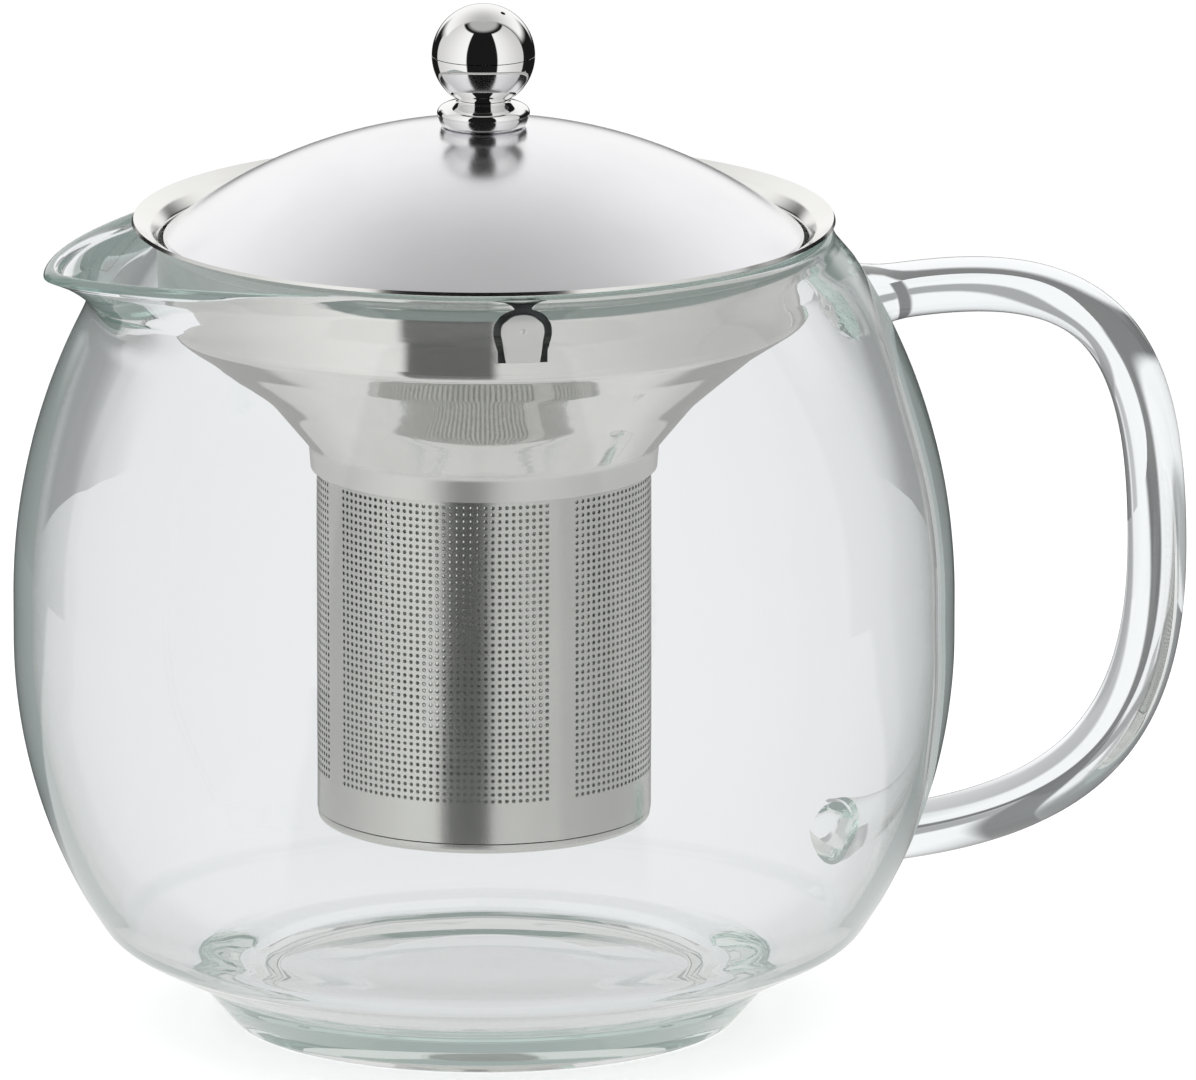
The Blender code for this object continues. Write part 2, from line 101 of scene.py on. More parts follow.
# Infuser
SHEET = 0.6 * MM
STRAINER_RADIUS = 27.1 * MM
STRAINER_SHEET = 0.5 * MM
HOLE_RADIUS = 0.335 * MM
HOLE_PITCH = 1.125 * MM
HOLE_SIDES = 8
HOLE_ROWS = 44
PANEL_COLUMNS = 34
PANELS = 4
BAND_COLUMNS = 4
FIRST_BAND_ANGLE = math.radians(-86.0)
TOP_HOLE_HEIGHT = 90.0 * MM
TONGUE_ANGLES = [math.radians(-107.0 + 120.0 * i) for i in range(3)]
TONGUE_HEAD_RADIUS = 3.45 * MM
TONGUE_NECK_WIDTH = 5.35 * MM
TONGUE_INNER = 52.25 * MM
TONGUE_HEAD_HEIGHT = 123.8 * MM
TONGUE_FOOT_HEIGHT = 119.4 * MM
SLOT_WIDTH = 1.5 * MM
SLOT_TOOL_INNER = 48.0 * MM                      # the slot's cutter goes right through the collar
SLOT_TOOL_OUTER = 55.8 * MM
PIP_RADIUS = 0.6 * MM

# Lid
LID_RADIUS = 51.8 * MM
LID_SHEET = 0.7 * MM
LID_EDGE_HEIGHT = 129.5 * MM
LID_APEX_HEIGHT = 147.4 * MM
BALL_RADIUS = 8.35 * MM
BALL_HEIGHT = 158.8 * MM
BALL_SHELL = 0.9 * MM
KNOB_BORE = 2.35 * MM
VENT_RADIUS = 0.42 * MM
KNOB_NECK_RADIUS = 4.45 * MM
KNOB_FOOT_RADIUS = 7.5 * MM
SEAT_RING_RADIUS = 6.3 * MM

# Painted glow: an emission on the glass that stands in for light mirrored many times inside it
PAINTED_GLOW_AFTER = 3.5                                 # mirrorings
PAINTED_GLOW_COLOUR = (0.88, 1.0, 0.97, 1.0)
PAINTED_GLOW_STRENGTH = 0.020

# Studio: levels and tints by what the light passed on its way to the eye
WHITE = (1.25, 1.25, 1.25)
WHITE_TO_CAMERA = (1.02, 1.02, 1.02)
WHITE_TO_FLOOR = (1.4, 1.4, 1.4)
STEEL_TINT = (1.0, 0.995, 0.985)
GLASS_TINT = (0.968, 0.982, 1.0)
TRAPPED_TINT = (0.90, 1.0, 0.98)
LEAST_STEEL = 0.012
WALL_LEVEL = 0.88
FLAG_DEPTH = 0.48
WORLD_TRAPPED = 0.42
# FLOOR_TRAPPED is the painted level of the floor's emission for light held inside one piece of glass
FLOOR_TRAPPED = 0.46
NEAR_POT = (0.08, 0.15)                          # the floor's painted plain middle, seen in steel and through glass, fades out between these
# Painted levels that the floor's emission shows near the pot, in open steel, in the pot's steel and
# through thick glass
NEAR_OPEN_STEEL = 0.85
NEAR_POT_STEEL = 0.78
NEAR_BAR = 0.62
# Dark lines seen through thick glass: from azimuth, to azimuth, softness, darkness
BAR_LINES = ((-176, -167, 1.2, 0.78), (-158, -150, 2, 0.45), (150, 159, 2, 0.4))
# FLOOR_LINES are dark lines painted into the floor's emission, as seen through thick glass
FLOOR_LINES = ((161, 175, 2, 0.8), (-162, -150, 3, 0.5), (126, 139, 2, 0.5))


# ---------------------------------------------------------------- node helpers

class Nodes:
    """Short names for the nodes that a procedural material needs."""

    def __init__(self, tree):
        self.tree = tree

    def add(self, kind, **settings):
        node = self.tree.nodes.new(kind)
        for key, value in settings.items():
            setattr(node, key, value)
        return node

    def feed(self, socket, value):
        if hasattr(value, "is_output"):
            self.tree.links.new(value, socket)
        else:
            socket.default_value = value

    def math(self, operation, a, b=None):
        node = self.add("ShaderNodeMath", operation=operation)
        self.feed(node.inputs[0], a)
        if b is not None:
            self.feed(node.inputs[1], b)
        return node.outputs[0]

    def largest(self, levels):
        result = levels[0]
        for level in levels[1:]:
            result = self.math("MAXIMUM", result, level)
        return result

    def dot(self, vector, direction):
        node = self.add("ShaderNodeVectorMath", operation="DOT_PRODUCT")
        self.feed(node.inputs[0], vector)
        node.inputs[1].default_value = direction
        return node.outputs["Value"]

    def vector(self, operation, a, b):
        node = self.add("ShaderNodeVectorMath", operation=operation)
        self.feed(node.inputs[0], a)
        node.inputs[1].default_value = b
        return node.outputs["Vector"]

    def tint(self, level, colour):
        """A colour made brighter or darker by a level."""
        node = self.add("ShaderNodeVectorMath", operation="SCALE")
        node.inputs[0].default_value = colour
        self.feed(node.inputs["Scale"], level)
        return node.outputs["Vector"]

    def choose(self, factor, on, off):
        node = self.add("ShaderNodeMix", data_type="FLOAT")
        for name, value in (("Factor", factor), ("A", off), ("B", on)):
            self.feed(node.inputs[name], value)
        return node.outputs["Result"]

    def mix_colour(self, factor, off, on):
        node = self.add("ShaderNodeMix", data_type="RGBA")
        self.feed(node.inputs[0], factor)
        for socket, value in ((node.inputs[6], off), (node.inputs[7], on)):
            self.feed(socket, value if hasattr(value, "is_output") else (*value, 1.0))
        return node.outputs[2]

    def ramp(self, value, low, high, start=0.0, end=1.0):
        node = self.add("ShaderNodeMapRange", interpolation_type="SMOOTHSTEP")
        self.feed(node.inputs["Value"], value)
        for name, number in (("From Min", low), ("From Max", high), ("To Min", start), ("To Max", end)):
            self.feed(node.inputs[name], number)
        return node.outputs["Result"]

    def band(self, value, low, high, soft):
        """1 between low and high, 0 outside, with soft edges."""
        rise = self.ramp(value, low - soft, low + soft)
        fall = self.ramp(value, high - soft, high + soft, 1.0, 0.0)
        return self.math("MULTIPLY", rise, fall)

    def noise(self, scale, detail=2.0, stretch=None, roughness=0.5):
        coords = self.add("ShaderNodeTexCoord").outputs["Object"]
        if stretch:
            mapping = self.add("ShaderNodeMapping")
            self.feed(mapping.inputs["Vector"], coords)
            mapping.inputs["Scale"].default_value = stretch
            coords = mapping.outputs["Vector"]
        node = self.add("ShaderNodeTexNoise")
        self.feed(node.inputs["Vector"], coords)
        node.inputs["Scale"].default_value = scale
        node.inputs["Detail"].default_value = detail
        node.inputs["Roughness"].default_value = roughness
        return node.outputs["Fac"]

    def bump(self, height, strength, distance, under=None):
        node = self.add("ShaderNodeBump")
        self.feed(node.inputs["Height"], height)
        node.inputs["Strength"].default_value = strength
        node.inputs["Distance"].default_value = distance
        if under is not None:
            self.feed(node.inputs["Normal"], under)
        return node.outputs["Normal"]


def new_material(name):
    made = bpy.data.materials.new(name)
    made.use_nodes = True
    tree = made.node_tree
    return made, Nodes(tree), tree.nodes["Principled BSDF"]


def glass_material():
    """Clear glass with a slight green body colour that shows where the light's path is long.
    A painted pale green glow, an emission added to the glass on rays mirrored many times inside
    the wall, stands in for light held there that leaves it a little at a time, as at the edge of a glass
    vessel."""
    made, n, shader = new_material("clear_glass")
    shader.inputs["Base Color"].default_value = (1.0, 1.0, 1.0, 1.0)
    shader.inputs["Roughness"].default_value = 0.0
    shader.inputs["IOR"].default_value = 1.48
    shader.inputs["Transmission Weight"].default_value = 1.0
    absorb = n.add("ShaderNodeVolumeAbsorption")
    absorb.inputs["Color"].default_value = (0.60, 0.78, 0.72, 1.0)
    absorb.inputs["Density"].default_value = 5.0
    output = made.node_tree.nodes["Material Output"]
    n.feed(output.inputs["Volume"], absorb.outputs["Volume"])
    ripple = n.noise(55.0, 1.0, stretch=(1.0, 1.0, 0.35))
    n.feed(shader.inputs["Normal"], n.bump(ripple, 0.12, 0.0006))
    # painted glow: the glass emits a faint pale green light on rays mirrored many times inside it
    held = n.math("GREATER_THAN", n.add("ShaderNodeLightPath").outputs["Glossy Depth"], PAINTED_GLOW_AFTER)
    painted_glow = n.add("ShaderNodeEmission")
    painted_glow.inputs["Color"].default_value = PAINTED_GLOW_COLOUR
    n.feed(painted_glow.inputs["Strength"], n.math("MULTIPLY", held, PAINTED_GLOW_STRENGTH))
    both = n.add("ShaderNodeAddShader")
    n.feed(both.inputs[0], shader.outputs["BSDF"])
    n.feed(both.inputs[1], painted_glow.outputs["Emission"])
    n.feed(output.inputs["Surface"], both.outputs["Shader"])
    made.cycles.emission_sampling = "NONE"
    return made


def steel_material(name, colour, roughness, grain, grain_scale, grain_stretch, wave=0.0, softer=()):
    """Stainless steel. Grain varies the gloss and the surface, and wave bends reflections. Softer
    gives (from height, to height, added roughness) where the metal is less polished."""
    made, n, shader = new_material(name)
    shader.inputs["Metallic"].default_value = 1.0
    lines = n.noise(grain_scale, 4.0, stretch=grain_stretch, roughness=0.6)
    smudges = n.noise(70.0, 3.0)
    worn = tuple(c * 0.97 for c in colour)
    n.feed(shader.inputs["Base Color"], n.mix_colour(n.ramp(smudges, 0.3, 0.75), colour, worn))
    blend = n.math("ADD", n.math("MULTIPLY", lines, 0.7), n.math("MULTIPLY", smudges, 0.3))
    gloss = n.ramp(blend, 0.3, 0.7, roughness * 0.93, roughness * 1.08)
    if softer:
        place = n.add("ShaderNodeSeparateXYZ")
        n.feed(place.inputs[0], n.add("ShaderNodeTexCoord").outputs["Object"])
        for start, end, more in softer:
            gloss = n.math("ADD", gloss, n.ramp(place.outputs["Z"], start, end, 0.0, more))
    n.feed(shader.inputs["Roughness"], gloss)
    surface = n.bump(lines, grain, 0.0002)
    if wave:
        swell = n.noise(45.0, 2.0, stretch=(1.0, 1.0, 3.0))
        surface = n.bump(swell, wave, 0.0006, surface)
    n.feed(shader.inputs["Normal"], surface)
    return made


# ---------------------------------------------------------------- shape helpers

def arc(centre, radius, start_deg, end_deg, steps):
    angles = [math.radians(start_deg + (end_deg - start_deg) * i / steps) for i in range(steps + 1)]
    return [(centre[0] + radius * math.cos(a), centre[1] + radius * math.sin(a)) for a in angles]


def rounded(corners, turn_step=math.radians(9.0)):
    """Points along straight lines whose corners, given as (x, y, radius), are rounded off."""
    points = []
    count = len(corners)
    for i, (x, y, radius) in enumerate(corners):
        here = Vector((x, y))
        if radius <= 0 or i in (0, count - 1):
            points.append((x, y))
            continue
        before = Vector(corners[i - 1][:2]) - here
        after = Vector(corners[i + 1][:2]) - here
        a, b = before.normalized(), after.normalized()
        opening = a.angle(b)
        cut = min(radius / math.tan(opening / 2), before.length * 0.49, after.length * 0.49)
        real_radius = cut * math.tan(opening / 2)
        centre = here + (a + b).normalized() * (real_radius / math.sin(opening / 2))
        start, end = here + a * cut - centre, here + b * cut - centre
        sweep = start.angle_signed(end)
        steps = max(2, math.ceil(abs(sweep) / turn_step))
        for k in range(steps + 1):
            turn = -sweep * k / steps
            c, s = math.cos(turn), math.sin(turn)
            points.append((centre.x + start.x * c - start.y * s, centre.y + start.x * s + start.y * c))
    return points


def in_metres(corners, **settings):
    """Rounded corners given in millimetres."""
    return rounded([(x * MM, y * MM, bend * MM) for x, y, bend in corners], **settings)


def dense(points, step):
    """The same line with extra points wherever two are more than a step apart."""
    made = [points[0]]
    for a, b in zip(points, points[1:]):
        pieces = max(1, math.ceil(math.dist(a, b) / step))
        made += [(a[0] + (b[0] - a[0]) * k / pieces, a[1] + (b[1] - a[1]) * k / pieces)
                 for k in range(1, pieces + 1)]
    return made


def thickened(line, thickness):
    """Closed outline of a sheet whose outer side follows the line."""
    inner = []
    for i, (r, z) in enumerate(line):
        before, after = line[max(i - 1, 0)], line[min(i + 1, len(line) - 1)]
        along = Vector((after[0] - before[0], after[1] - before[1])).normalized()
        inner.append((r - along.y * thickness, z + along.x * thickness))
    return line + inner[::-1]


def smooth(mesh, edge_deg=32.0):
    """Smooth shading that keeps edges sharper than an angle."""
    mesh.shade_smooth()
    mesh.set_sharp_from_angle(angle=math.radians(edge_deg))


def link_mesh(name, mesh, surface, edge_deg=32.0):
    mesh.materials.append(surface)
    smooth(mesh, edge_deg)
    made = bpy.data.objects.new(name, mesh)
    bpy.context.scene.collection.objects.link(made)
    return made


def from_bmesh(name, bm, surface):
    bmesh.ops.recalc_face_normals(bm, faces=bm.faces)
    mesh = bpy.data.meshes.new(name)
    bm.to_mesh(mesh)
    bm.free()
    return link_mesh(name, mesh, surface)


def even_angles(count):
    return [2 * math.pi * i / count for i in range(count)]


def turned(name, outline, surface, segments=160, shift=None, angles=None):
    """Turn a (radius, height) outline around the pot's axis."""
    angles = angles or even_angles(segments)
    count = len(angles)
    bm = bmesh.new()
    rings = []
    for r, z in outline:
        if r < ON_AXIS:
            rings.append([bm.verts.new((POT_X, 0, z))])
            continue
        ring = []
        for angle in angles:
            reach, height = shift(r, z, angle) if shift else (r, z)
            ring.append(bm.verts.new((POT_X + reach * math.cos(angle), reach * math.sin(angle), height)))
        rings.append(ring)
    closed = outline[0][0] > ON_AXIS
    pairs = zip(rings, rings[1:] + rings[:1]) if closed else zip(rings, rings[1:])
    for low, high in pairs:
        for j in range(count):
            k = (j + 1) % count
            corners = [low[j % len(low)], low[k % len(low)], high[k % len(high)], high[j % len(high)]]
            bm.faces.new(list(dict.fromkeys(corners)))
    return from_bmesh(name, bm, surface)


def apply_boolean(target, tool, operation):
    """Cut or join a shape with a tool, which is then removed."""
    modifier = target.modifiers.new("shape", "BOOLEAN")
    modifier.operation = operation
    modifier.object = tool
    depsgraph = bpy.context.evaluated_depsgraph_get()
    result = bpy.data.meshes.new_from_object(target.evaluated_get(depsgraph), depsgraph=depsgraph)
    target.modifiers.clear()
    target.data = result
    bpy.data.objects.remove(tool, do_unlink=True)


# ---------------------------------------------------------------- glass pieces

def wall_radius(z, inset=0.0):
    if BELLY_LOW <= z <= BELLY_HIGH:
        return BELLY_RADIUS - inset
    bend, drop = (LOWER_ARC, BELLY_LOW - z) if z < BELLY_LOW else (UPPER_ARC, z - BELLY_HIGH)
    return BELLY_RADIUS - bend + math.sqrt((bend - inset) ** 2 - drop * drop)


def wall_arc(inset, low, high, steps):
    heights = [low + (high - low) * i / steps for i in range(steps + 1)]
    return [(wall_radius(z, inset), z) for z in heights]


def jug_outline():
    """From the middle of the underside, up the outside, over the rim and down the inside."""
    foot = [(0.0, 2.6, 0), (34.2, 2.6, 1.6), (36.9, 0.0, 1.0), (41.1, 0.0, 0.9), (47.4, 7.4, 2.4)]
    foot += [(61.3, 14.6, 8.0), (wall_radius(21.0 * MM) / MM, 21.0, 0)]
    outside = dense(in_metres(foot), 1.5 * MM)
    outside += wall_arc(0.0, 21.0 * MM, 124.0 * MM, 96)[1:]
    neck = [(wall_radius(124.0 * MM) / MM, 124.0, 0), (57.6, 127.4, 3.0), (56.7, 129.0, 0)]
    outside += dense(in_metres(neck), 1.0 * MM)[1:-1]
    rim = arc((RIM_RADIUS, RIM_HEIGHT), RIM_BEAD, 0, 190, 16)
    inside = wall_arc(GLASS, 122.5 * MM, 24.0 * MM, 96)
    floor_line = [(wall_radius(24.0 * MM, GLASS) / MM, 24.0, 0), (58.8, 15.6, 10.0), (46.5, 9.0, 14.0)]
    floor_line += [(38.4, 8.5, 2.0), (36.0, 7.9, 3.0), (26.0, 7.5, 4.0), (20.0, 7.2, 4.0), (0.0, 7.2, 0)]
    inside += dense(in_metres(floor_line), 1.5 * MM)[1:]
    return outside + rim + inside


def jug_shift(r, z, angle):
    """The pouring lip around -X, and the soft dents inside the wall where the handle is fused."""
    off_axis = abs(math.remainder(angle - math.pi, 2 * math.pi))
    if off_axis < SPOUT_HALF_ANGLE and z > SPOUT_ROOT_HEIGHT:
        rounding = SPOUT_TIP_ROUNDING
        off_tip = math.hypot(off_axis / SPOUT_HALF_ANGLE, rounding) - rounding
        across = max(0.0, 1 - off_tip / (math.hypot(1, rounding) - rounding)) ** 1.5
        up = min(1.0, ((z - SPOUT_ROOT_HEIGHT) / (RIM_HEIGHT - SPOUT_ROOT_HEIGHT)) ** 2)
        return r + SPOUT_REACH * across * up, z - SPOUT_DROOP * across * up
    if 12 * MM < z < 122 * MM and r < wall_radius(z, GLASS / 2):
        side = r * math.remainder(angle, 2 * math.pi)
        for height, depth in DENTS:
            away = (side / DENT_WIDTH) ** 2 + ((z - height) / DENT_HEIGHT) ** 2
            r -= depth * math.exp(-away)
    return r, z


def handle_path():
    back = HANDLE_REACH - HANDLE_THICK / 2
    inset = GLASS * 0.5
    start = Vector((wall_radius(HANDLE_TOP) - inset, 0, HANDLE_TOP))
    middle = Vector((back, 0, 66 * MM))
    end = Vector((wall_radius(HANDLE_FOOT) - inset, 0, HANDLE_FOOT))
    upper = geometry.interpolate_bezier(
        start, Vector((108 * MM, 0, 116.8 * MM)), Vector((back, 0, 105 * MM)), middle, 60)
    lower = geometry.interpolate_bezier(
        middle, Vector((back, 0, 32 * MM)), Vector((104 * MM, 0, 21.5 * MM)), end, 60)
    return upper + lower[1:]


def handle_mesh(surface):
    """The oval glass bar, with flared ends that run into the wall."""
    sides = 40
    path = handle_path()
    lengths = [0.0]
    for a, b in zip(path, path[1:]):
        lengths.append(lengths[-1] + (b - a).length)
    bm = bmesh.new()
    rings = []
    for i, centre in enumerate(path):
        along = (path[min(i + 1, len(path) - 1)] - path[max(i - 1, 0)]).normalized()
        outward = along.cross(Vector((0, 1, 0)))
        from_end = min(lengths[i], lengths[-1] - lengths[i])
        flare = 1 + HANDLE_FLARE * math.exp(-(from_end / HANDLE_FLARE_LENGTH) ** 2)
        ring = []
        for k in range(sides):
            angle = 2 * math.pi * k / sides
            across = HANDLE_THICK / 2 * math.cos(angle) * flare
            sideways = HANDLE_WIDE / 2 * math.sin(angle) * flare
            ring.append(bm.verts.new(centre + outward * across + Vector((POT_X, sideways, 0))))
        rings.append(ring)
    for low, high in zip(rings, rings[1:]):
        for k in range(sides):
            m = (k + 1) % sides
            bm.faces.new((low[k], low[m], high[m], high[k]))
    for ring in (rings[0], rings[-1]):
        bm.faces.new(ring)
    return from_bmesh("handle_tool", bm, surface)


def glass_jug(surface):
    angles = [a + 0.5 * math.sin(a) for a in even_angles(192)]       # closest together round the lip
    made = turned("jug_and_handle_glass", jug_outline(), surface, shift=jug_shift, angles=angles)
    apply_boolean(made, handle_mesh(surface), "UNION")
    smooth(made.data, 60)
    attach(made, "jug")
    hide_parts("glass_jug", "glass_handle")


# ---------------------------------------------------------------- infuser

def funnel_line():
    """Outer side of the funnel, from the flange's lip down to the neck's foot."""
    line = [(56.85, 131.6, 0), (54.3, 130.35, 1.2), (52.9, 128.6, 1.2), (52.75, 125.0, 0)]
    line += [(52.55, 116.4, 2.6), (45.0, 111.4, 7.0), (34.6, 102.5, 16.0)]
    line += [(28.4, 94.9, 1.8), (28.1, 91.15, 0)]
    return dense(in_metres(line, turn_step=math.radians(5)), 1.2 * MM)


def tongue_outline(grow, foot):
    head = TONGUE_HEAD_RADIUS + grow
    half_neck = min(TONGUE_NECK_WIDTH / 2 + grow, head * 0.93)
    start = -math.degrees(math.acos(half_neck / head))
    points = arc((0.0, TONGUE_HEAD_HEIGHT), head, start, 180 - start, 36)
    return [(half_neck, foot)] + points + [(-half_neck, foot)]


def curved_plate(outline, angle, inner, outer):
    bm = bmesh.new()
    sides = []
    for reach in (inner, outer):
        ring = []
        for sideways, z in outline:
            turn = angle + sideways / outer
            ring.append(bm.verts.new((POT_X + reach * math.cos(turn), reach * math.sin(turn), z)))
        sides.append(ring)
    count = len(outline)
    for k in range(count):
        m = (k + 1) % count
        bm.faces.new((sides[0][k], sides[0][m], sides[1][m], sides[1][k]))
    caps = [bm.faces.new(ring) for ring in sides]
    bmesh.ops.triangulate(bm, faces=caps)
    return bm


def infuser_funnel(surface):
    made = turned("funnel_sheet", thickened(funnel_line(), -SHEET), surface, 240)
    for angle in TONGUE_ANGLES:
        outline = tongue_outline(SLOT_WIDTH, TONGUE_FOOT_HEIGHT)
        plate = curved_plate(outline, angle, SLOT_TOOL_INNER, SLOT_TOOL_OUTER)
        tool = from_bmesh("slot_tool", plate, surface)
        apply_boolean(made, tool, "DIFFERENCE")
    smooth(made.data)
    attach(made, "infuser")
    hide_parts("infuser_funnel")


def clip_tongue(number, angle, surface):
    """A keyhole-shaped spring tongue with a small pressed pip."""
    inner = TONGUE_INNER
    outer = inner + SHEET
    outline = tongue_outline(0.0, TONGUE_FOOT_HEIGHT + 0.05 * MM)
    made = from_bmesh(f"tongue_sheet_{number}", curved_plate(outline, angle, inner, outer), surface)
    pip = bmesh.new()
    bmesh.ops.create_uvsphere(pip, u_segments=24, v_segments=12, radius=PIP_RADIUS)
    bmesh.ops.scale(pip, verts=pip.verts, vec=(0.5, 1.0, 1.0))
    bmesh.ops.rotate(pip, verts=pip.verts, cent=(0, 0, 0), matrix=Matrix.Rotation(angle, 3, "Z"))
    spot = Vector((POT_X + outer * math.cos(angle), outer * math.sin(angle), TONGUE_HEAD_HEIGHT))
    bmesh.ops.translate(pip, verts=pip.verts, vec=spot)
    apply_boolean(made, from_bmesh("pip_tool", pip, surface), "DIFFERENCE")
    smooth(made.data)
    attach(made, f"tongue_{number}")
    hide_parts(f"clip_tongue_{number}")


def strainer_columns():
    """Turning angle of every column line, and whether the column after it is perforated."""
    pitch = HOLE_PITCH / STRAINER_RADIUS
    band = (2 * math.pi / PANELS - PANEL_COLUMNS * pitch) / BAND_COLUMNS
    angles, perforated = [], []
    turn = FIRST_BAND_ANGLE - band * BAND_COLUMNS / 2
    for _ in range(PANELS):
        for column in range(BAND_COLUMNS + PANEL_COLUMNS):
            angles.append(turn)
            has_hole = column >= BAND_COLUMNS
            perforated.append(has_hole)
            turn += pitch if has_hole else band
    return angles, perforated


def strainer_wall(surface):
    """The rolled sheet with every hole cut through, and a lapped seam in one plain band."""
    angles, perforated = strainer_columns()
    count = len(angles)
    top = TOP_HOLE_HEIGHT + HOLE_PITCH / 2
    heights = [94.2 * MM, 92.0 * MM] + [top - HOLE_PITCH * i for i in range(HOLE_ROWS + 1)]
    first_row, last_row = 2, 2 + HOLE_ROWS
    heights += [37.0 * MM, 34.6 * MM]
    verts, faces = [], []
    corner = {}
    lap = {1: 0.16 * MM, 2: 0.16 * MM, 3: 0.05 * MM}
    sides = (STRAINER_RADIUS, STRAINER_RADIUS - STRAINER_SHEET)

    def place(radius, angle, z):
        verts.append((POT_X + radius * math.cos(angle), radius * math.sin(angle), z))
        return len(verts) - 1

    for side, radius in enumerate(sides):
        for i, z in enumerate(heights):
            for j, angle in enumerate(angles):
                corner[side, i, j] = place(radius + lap.get(j, 0.0), angle, z)
    for i in range(len(heights) - 1):
        for j in range(count):
            k = (j + 1) % count
            hole = perforated[j] and first_row <= i < last_row
            rims = []
            for side, radius in enumerate(sides):
                nw, ne = corner[side, i, j], corner[side, i, k]
                sw, se = corner[side, i + 1, j], corner[side, i + 1, k]
                if not hole:
                    face = (nw, sw, se, ne)
                    faces.append(face if side == 0 else face[::-1])
                    continue
                mid_z = (heights[i] + heights[i + 1]) / 2
                mid_angle = angles[j] + HOLE_PITCH / STRAINER_RADIUS / 2
                rim = [place(radius, mid_angle + HOLE_RADIUS * math.cos(a) / STRAINER_RADIUS,
                             mid_z + HOLE_RADIUS * math.sin(a)) for a in even_angles(HOLE_SIDES)]
                rims.append(rim)
                cell = ((se, ne, rim[1], rim[0], rim[7]), (ne, nw, rim[3], rim[2], rim[1]),
                        (nw, sw, rim[5], rim[4], rim[3]), (sw, se, rim[7], rim[6], rim[5]))
                faces += [c if side == 0 else c[::-1] for c in cell]
            if hole:
                outer, inner = rims
                for a in range(HOLE_SIDES):
                    b = (a + 1) % HOLE_SIDES
                    faces.append((outer[a], outer[b], inner[b], inner[a]))
    for i, flip in ((0, True), (len(heights) - 1, False)):
        for j in range(count):
            k = (j + 1) % count
            face = (corner[0, i, j], corner[0, i, k], corner[1, i, k], corner[1, i, j])
            faces.append(face if flip else face[::-1])
    mesh = bpy.data.meshes.new("strainer_sheet")
    mesh.from_pydata(verts, [], faces)
    made = link_mesh("strainer_sheet", mesh, surface, 30)
    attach(made, "infuser")
    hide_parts("strainer_wall")


def strainer_base(surface):
    """The pressed cup in the foot of the strainer: rounded edge, raised ring and flat floor."""
    reach = STRAINER_RADIUS / MM
    line = [(reach - 0.85, 38.8, 0), (reach - 0.85, 34.45, 0.1), (reach - 0.12, 34.4, 0.1)]
    line += [(reach - 0.2, 32.85, 1.5), (reach - 4.6, 32.85, 1.2), (reach - 5.6, 33.7, 1.0)]
    line += [(6.0, 33.7, 0), (0.0, 33.7, 0)]
    outer = dense(in_metres(line), 1.0 * MM)
    inner = [(0.0, 34.15, 0), (reach - 5.8, 34.15, 1.0), (reach - 4.8, 33.3, 0.8)]
    inner += [(reach - 1.35, 33.3, 1.0), (reach - 1.35, 38.8, 0)]
    inner = dense(in_metres(inner), 1.0 * MM)
    made = turned("strainer_cup", outer[::-1] + inner[::-1], surface, 128)
    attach(made, "infuser")
    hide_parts("strainer_base")


# ---------------------------------------------------------------- lid

def dome_radius():
    rise = LID_APEX_HEIGHT - LID_EDGE_HEIGHT
    reach = LID_RADIUS - 0.5 * MM
    return (reach * reach + rise * rise) / (2 * rise)


def dome_height(r, inset=0.0):
    bend = dome_radius()
    return LID_APEX_HEIGHT - bend + math.sqrt((bend - inset) ** 2 - r * r)


def steps_between(start, end, steps):
    return [start + (end - start) * i / steps for i in range(steps + 1)]


def lid_dome(surface):
    """From the knob's hole over the top of the dome, round the rolled edge and back underneath."""
    outer_end, inner_end = LID_RADIUS - 1.0 * MM, LID_RADIUS - 1.6 * MM
    line = [(r, dome_height(r)) for r in steps_between(KNOB_BORE, outer_end, 60)]
    under = [(r, dome_height(r, LID_SHEET)) for r in steps_between(KNOB_BORE, inner_end, 30)[::-1]]
    reach, edge_z = LID_RADIUS / MM, LID_EDGE_HEIGHT / MM
    roll = [(reach - 0.4, edge_z - 0.05, 0.5), (reach, edge_z - 0.45, 0.3)]
    roll += [(reach - 0.1, edge_z - 1.1, 0.3), (reach - 0.9, edge_z - 1.2, 0.3)]
    roll += [(reach - 1.1, edge_z - 0.8, 0.2)]
    roll = [(r * MM, z * MM, bend * MM) for r, z, bend in roll]
    line += rounded([(*line[-1], 0)] + roll + [(inner_end, dome_height(inner_end, LID_SHEET), 0)])[1:-1]
    made = turned("lid_dome_sheet", line + under, surface, 240)
    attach(made, "lid")
    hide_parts("lid_dome")


def knob_part(name, node, outline, surface, segments=96):
    made = turned(name, outline, surface, segments)
    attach(made, "lid")
    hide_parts(node)
    return made


